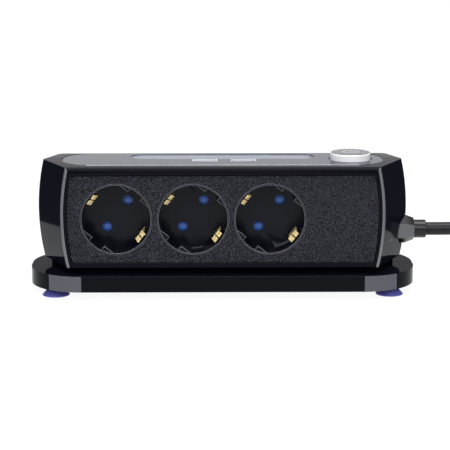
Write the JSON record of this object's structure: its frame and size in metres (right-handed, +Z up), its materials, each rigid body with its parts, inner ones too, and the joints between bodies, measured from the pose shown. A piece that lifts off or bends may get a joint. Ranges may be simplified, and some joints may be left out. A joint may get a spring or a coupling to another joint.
{
  "type": "desk power strip",
  "caption": "Glossy black desk power strip with earthed sockets, charging ports, a push switch, a trough and suction feet.",
  "frame": {"origin": "middle of the base footprint, on the desk under the suction cups", "axes": "+X along the strip towards the lead, -Y the socket side, +Z up"},
  "size_m": [0.5002, 0.0767, 0.0778],
  "materials": {
    "gloss_black": "high gloss",
    "cup_rubber": "clear soft blue",
    "grained_panel": "fine leather grain",
    "dark_plastic": "satin",
    "shutter_blue": "satin blue",
    "steel": "bright",
    "contact_brass": "bright",
    "pale_plastic": "moulded",
    "nickel": "polished nickel",
    "board_green": "solder mask",
    "coil_yellow": "tape",
    "capacitor_sleeve": "shrink sleeve",
    "button_satin": "silver lacquer",
    "switch_black": "moulded",
    "cord_black": "matt sheath",
    "wire_brown": "insulation",
    "wire_blue": "insulation",
    "wire_green": "insulation",
    "plug_black": "moulded"
  },
  "bodies": {
    "strip": {"base_plate": "gloss_black", "base_cover": "gloss_black", "neck": "gloss_black", "suction_cup_1": "cup_rubber", "suction_cup_2": "cup_rubber", "suction_cup_3": "cup_rubber", "suction_cup_4": "cup_rubber", "front_shell": "gloss_black", "rear_shell": "gloss_black", "front_panel": "grained_panel", "top_inlay": "gloss_black", "socket_dish_1": "dark_plastic", "socket_dish_2": "dark_plastic", "socket_dish_3": "dark_plastic", "shutter_springs": "steel", "earth_bow_1": "contact_brass", "earth_bow_2": "contact_brass", "earth_bow_3": "contact_brass", "earth_rail": "contact_brass", "live_rail": "contact_brass", "neutral_rail": "contact_brass", "contact_carrier": "pale_plastic", "carrier_pillars": "pale_plastic", "rail_cover": "pale_plastic", "usb_shell_left": "nickel", "usb_shell_right": "nickel", "usb_tongue_left": "pale_plastic", "usb_tongue_right": "pale_plastic", "usb_port_board": "board_green", "converter_board": "board_green", "transformer": "coil_yellow", "capacitors": "capacitor_sleeve", "button_guide": "dark_plastic", "button_spring": "steel", "switch_body": "switch_black", "cable_gland": "gloss_black", "strain_relief": "dark_plastic", "cord_clamp": "dark_plastic", "inner_cable": "cord_black", "wire_live_in": "wire_brown", "wire_live_out": "wire_brown", "wire_neutral": "wire_blue", "wire_earth": "wire_green", "shell_screws": "steel", "base_screws": "steel", "carrier_screws": "steel", "clamp_screws": "steel", "power_cord": "cord_black", "cord_hank": "cord_black", "plug_lead": "cord_black", "cord_tie": "dark_plastic", "mains_plug": "plug_black", "plug_pins": "nickel", "plug_earth": "contact_brass"},
    "button": {"push_button": "button_satin", "button_stem": "pale_plastic"},
    "shutter_1": {"shutter_1": "shutter_blue"},
    "shutter_2": {"shutter_2": "shutter_blue"},
    "shutter_3": {"shutter_3": "shutter_blue"}
  },
  "joints": [
    {"name": "button_press", "type": "slide", "parent": "strip", "child": "button", "axis": [0, 0, -1], "range_m": [0, 0.002], "stiffness_N_per_m": 900, "springref_m": -0.002, "deforming": ["button_spring"]},
    {"name": "shutter_1_turn", "type": "hinge", "parent": "strip", "child": "shutter_1", "pos_m": [-0.0589, -0.0089, 0.04505], "axis": [0, -1, 0], "range_deg": [0, 40], "stiffness_Nm_per_rad": 0.003, "springref_deg": -14.9},
    {"name": "shutter_2_turn", "type": "hinge", "parent": "strip", "child": "shutter_2", "pos_m": [-0.0165, -0.0089, 0.04505], "axis": [0, -1, 0], "range_deg": [0, 40], "stiffness_Nm_per_rad": 0.003, "springref_deg": -14.9},
    {"name": "shutter_3_turn", "type": "hinge", "parent": "strip", "child": "shutter_3", "pos_m": [0.0259, -0.0089, 0.04505], "axis": [0, -1, 0], "range_deg": [0, 40], "stiffness_Nm_per_rad": 0.003, "springref_deg": -14.9}
  ]
}
